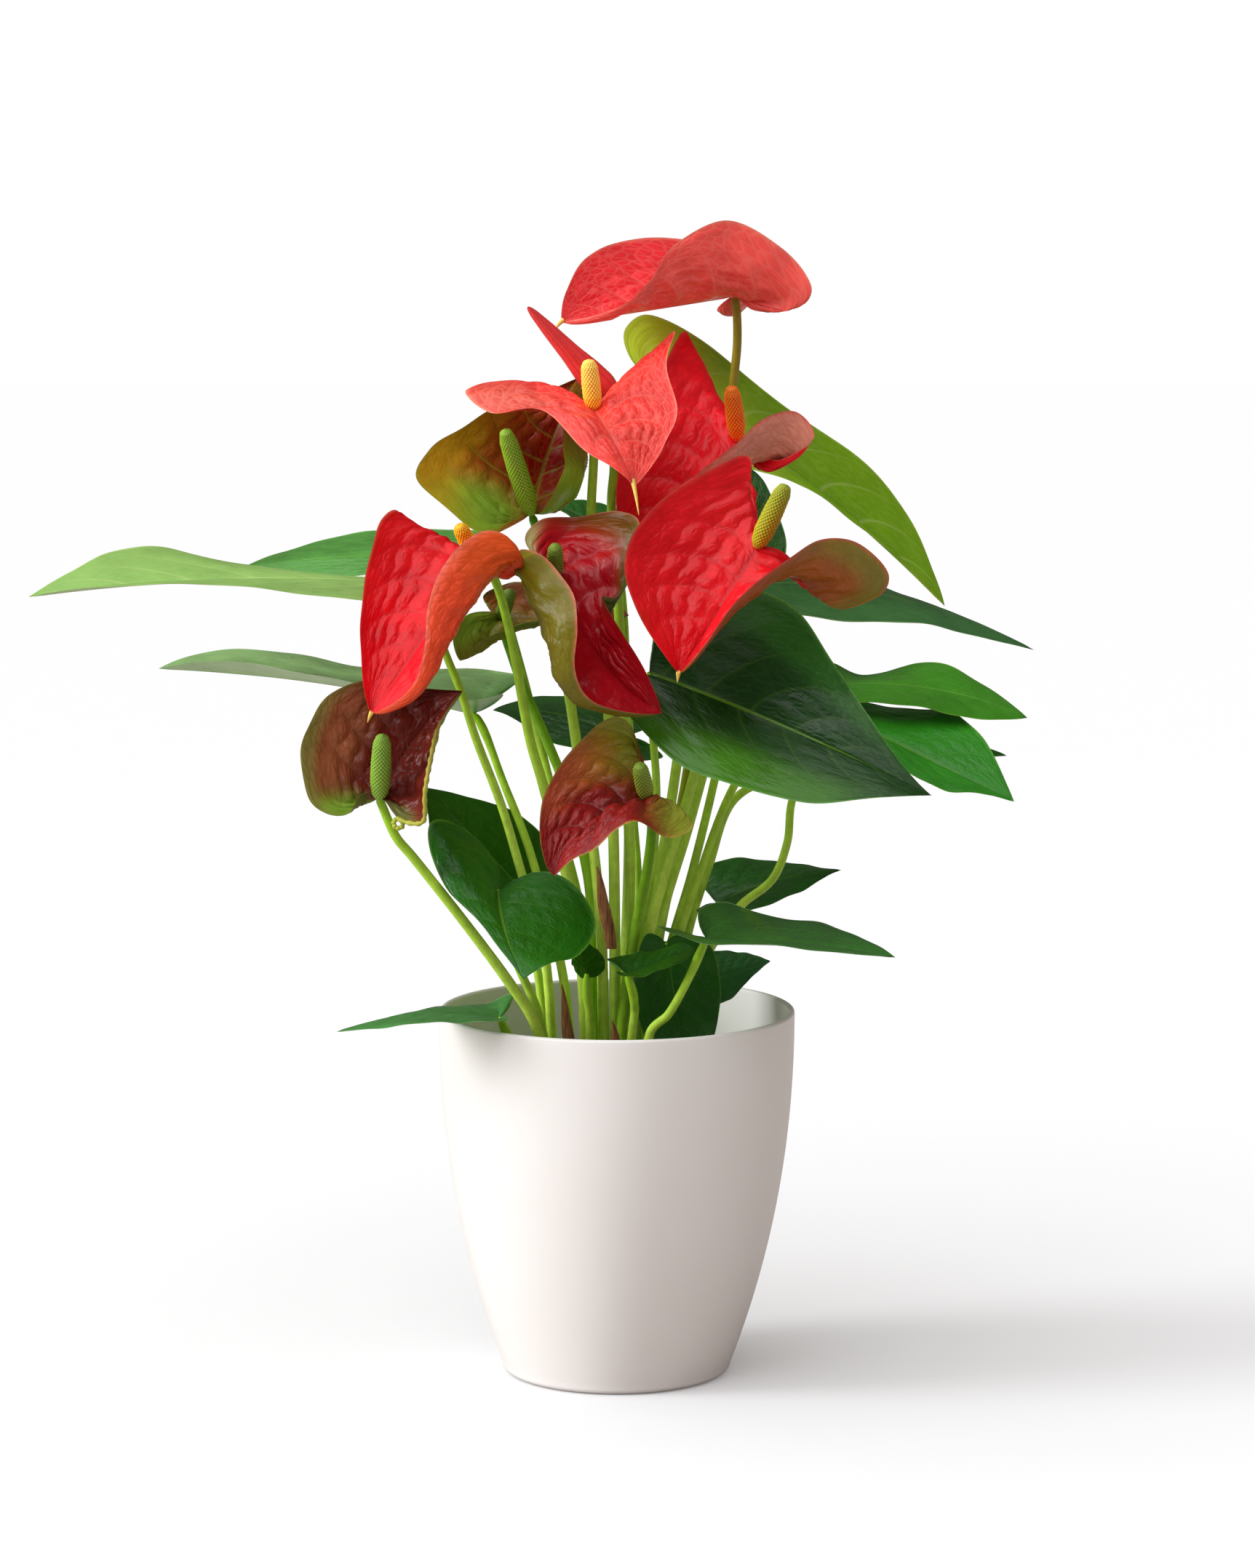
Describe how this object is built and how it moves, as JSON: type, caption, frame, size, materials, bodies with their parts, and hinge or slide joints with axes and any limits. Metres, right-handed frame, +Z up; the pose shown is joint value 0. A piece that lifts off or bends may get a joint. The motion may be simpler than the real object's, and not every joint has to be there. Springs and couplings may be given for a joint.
{
  "type": "potted anthurium",
  "caption": "Potted anthurium with red heart-shaped spathes, finger-like spadices and glossy heart-shaped leaves in a plain off-white cover pot.",
  "frame": {"origin": "centre of the cover pot's foot, on the surface that it stands on", "axes": "+Z up along the cover pot's axis; -Y towards the side that most of the flowers face; +X to the right as seen from there"},
  "size_m": [0.409, 0.1937, 0.4677],
  "materials": {
    "pot_plastic": "satin",
    "nursery_plastic": "matte",
    "soil": "matte",
    "stem_green": "satin",
    "spathe_coral": "gloss",
    "spathe_red": "gloss",
    "spathe_olive": "gloss",
    "spathe_maroon": "gloss",
    "spadix_yellow": "matte",
    "spadix_orange": "matte",
    "spadix_green": "matte",
    "leaf_dark": "gloss",
    "leaf_light": "satin",
    "dry_scale": "matte"
  },
  "bodies": {
    "root": {"cover_pot": "pot_plastic", "nursery_pot": "nursery_plastic", "potting_soil": "soil", "spathe_01": "spathe_coral", "spathe_02": "spathe_coral", "spathe_03": "spathe_red", "spathe_04": "spathe_red", "spathe_05": "spathe_red", "spathe_06": "spathe_olive", "spathe_07": "spathe_red", "spathe_08": "spathe_maroon", "spathe_09": "spathe_maroon", "spathe_10": "spathe_olive", "spadix_01": "spadix_yellow", "spadix_02": "spadix_yellow", "spadix_03": "spadix_orange", "spadix_04": "spadix_green", "spadix_05": "spadix_yellow", "spadix_06": "spadix_green", "spadix_07": "spadix_green", "spadix_08": "spadix_green", "spadix_09": "spadix_green", "spadix_10": "spadix_green", "flower_stalk_01": "stem_green", "flower_stalk_02": "stem_green", "flower_stalk_03": "stem_green", "flower_stalk_04": "stem_green", "flower_stalk_05": "stem_green", "flower_stalk_06": "stem_green", "flower_stalk_07": "stem_green", "flower_stalk_08": "stem_green", "flower_stalk_09": "stem_green", "flower_stalk_10": "stem_green", "young_spathe": "spathe_coral", "young_stalk": "stem_green", "leaf_01": "leaf_light", "leaf_02": "leaf_light", "leaf_03": "leaf_dark", "leaf_04": "leaf_dark", "leaf_05": "leaf_dark", "leaf_06": "leaf_dark", "leaf_07": "leaf_dark", "leaf_08": "leaf_dark", "leaf_09": "leaf_dark", "leaf_10": "leaf_dark", "leaf_11": "leaf_dark", "leaf_12": "leaf_dark", "leaf_13": "leaf_dark", "leaf_14": "leaf_dark", "leaf_15": "leaf_dark", "leaf_16": "leaf_dark", "leaf_17": "leaf_dark", "leaf_18": "leaf_dark", "leaf_19": "leaf_dark", "leaf_20": "leaf_dark", "leaf_21": "leaf_dark", "dry_sheath_01": "dry_scale", "dry_sheath_02": "dry_scale", "dry_sheath_03": "dry_scale", "dry_sheath_04": "dry_scale"}
  },
  "joints": []
}
